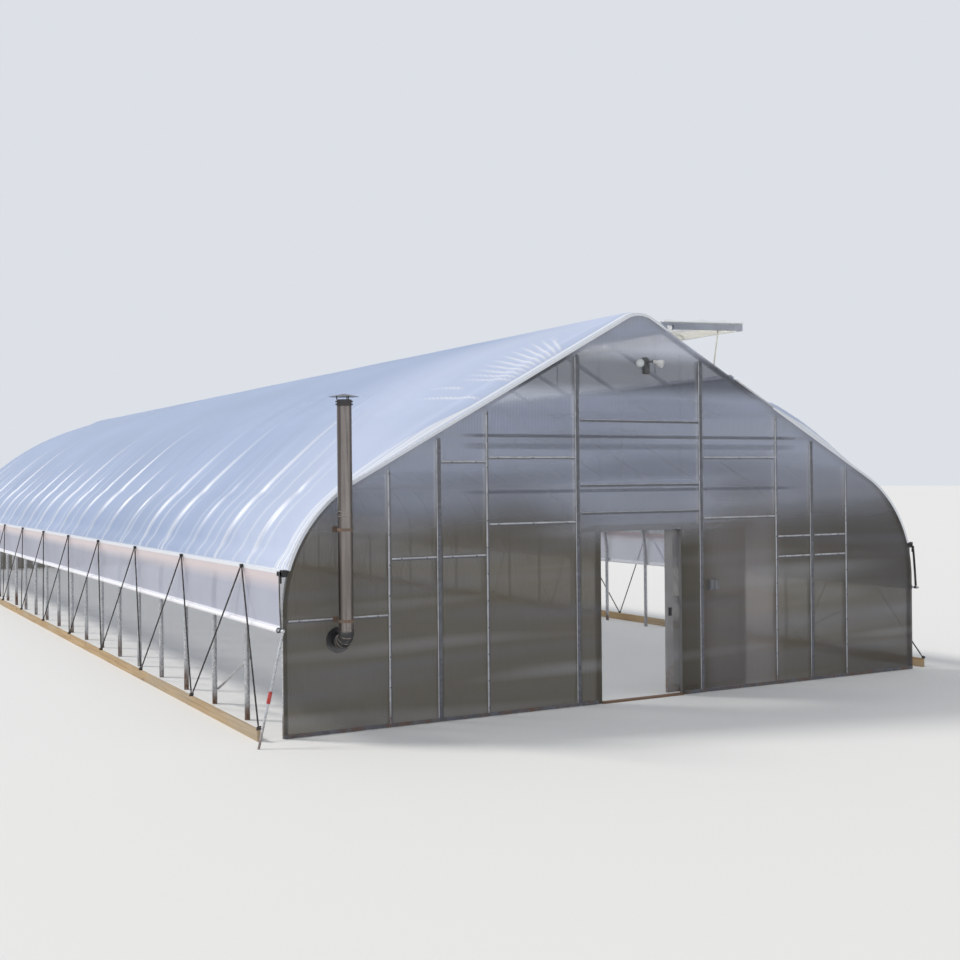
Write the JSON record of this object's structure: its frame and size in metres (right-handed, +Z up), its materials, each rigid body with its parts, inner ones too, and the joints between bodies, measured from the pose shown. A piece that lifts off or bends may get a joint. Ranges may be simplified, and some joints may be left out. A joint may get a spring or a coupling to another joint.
{
  "type": "polytunnel greenhouse",
  "caption": "Long film-covered tube-hoop greenhouse with roll-up sides, a propped roof vent, smoky glazed ends, a sliding door and a flue.",
  "frame": {"origin": "underside of the door threshold, on the ground in the middle of the front end wall", "axes": "+X right along the front wall seen from outside, +Y back along the house, +Z up"},
  "size_m": [9.8209, 29.8008, 4.7186],
  "materials": {
    "galvanised": "weathered galvanised",
    "lock_channel": "mill",
    "film": "clear greenhouse film, slightly milky",
    "curtain_film": "milky film",
    "rope": "braided black rope",
    "timber": "weathered softwood",
    "red_grip": "moulded",
    "twinwall": "smoky twin-wall sheet",
    "door_metal": "pale grey",
    "dark_metal": "black satin",
    "flue_steel": "weathered",
    "bracket_steel": "rusted",
    "lamp_plastic": "moulded",
    "grey_plastic": "moulded"
  },
  "bodies": {
    "house": {"hoop_posts": "galvanised", "eave_bends_lower": "galvanised", "eave_bends_upper": "galvanised", "rafters": "galvanised", "ridge_bends": "galvanised", "purlins": "galvanised", "cross_ties": "galvanised", "tie_struts": "galvanised", "hip_rails": "lock_channel", "film_ridge": "film", "film_left_slope": "film", "film_left_eave_upper": "film", "film_left_eave_lower": "film", "film_right_upper": "film", "film_right_slope": "film", "film_right_eave_upper": "film", "film_right_eave_lower": "film", "film_lock_front": "lock_channel", "film_lock_back": "lock_channel", "vent_hinge_rail": "lock_channel", "vent_sill": "lock_channel", "vent_flap_frame": "galvanised", "vent_film": "film", "vent_props": "galvanised", "side_curtain_left": "curtain_film", "side_curtain_right": "curtain_film", "curtain_roll_left": "curtain_film", "curtain_roll_right": "curtain_film", "anti_billow_ropes": "rope", "rope_hooks": "galvanised", "ground_boards": "timber", "corner_braces": "galvanised", "crank_pole": "galvanised", "crank_grip": "red_grip", "front_studs": "galvanised", "front_girts": "galvanised", "door_threshold": "galvanised", "door_frame": "galvanised", "door_track": "galvanised", "front_glazing_left": "twinwall", "front_glazing_right": "twinwall", "front_glazing_over_door": "twinwall", "back_studs": "galvanised", "back_girts": "galvanised", "back_glazing": "twinwall", "flue_pipe": "flue_steel", "flue_elbow": "dark_metal", "flue_thimble": "flue_steel", "flue_brackets": "bracket_steel", "flue_rain_cap": "flue_steel", "floodlight": "lamp_plastic", "switch_box": "grey_plastic"},
    "door_leaf": {"door_leaf_frame": "door_metal", "door_leaf_glazing": "twinwall", "door_lock": "dark_metal", "door_hangers": "dark_metal"}
  },
  "joints": [
    {"name": "door_slide", "type": "slide", "parent": "house", "child": "door_leaf", "axis": [1, 0, 0], "range_m": [-1.05, 0.1]}
  ]
}
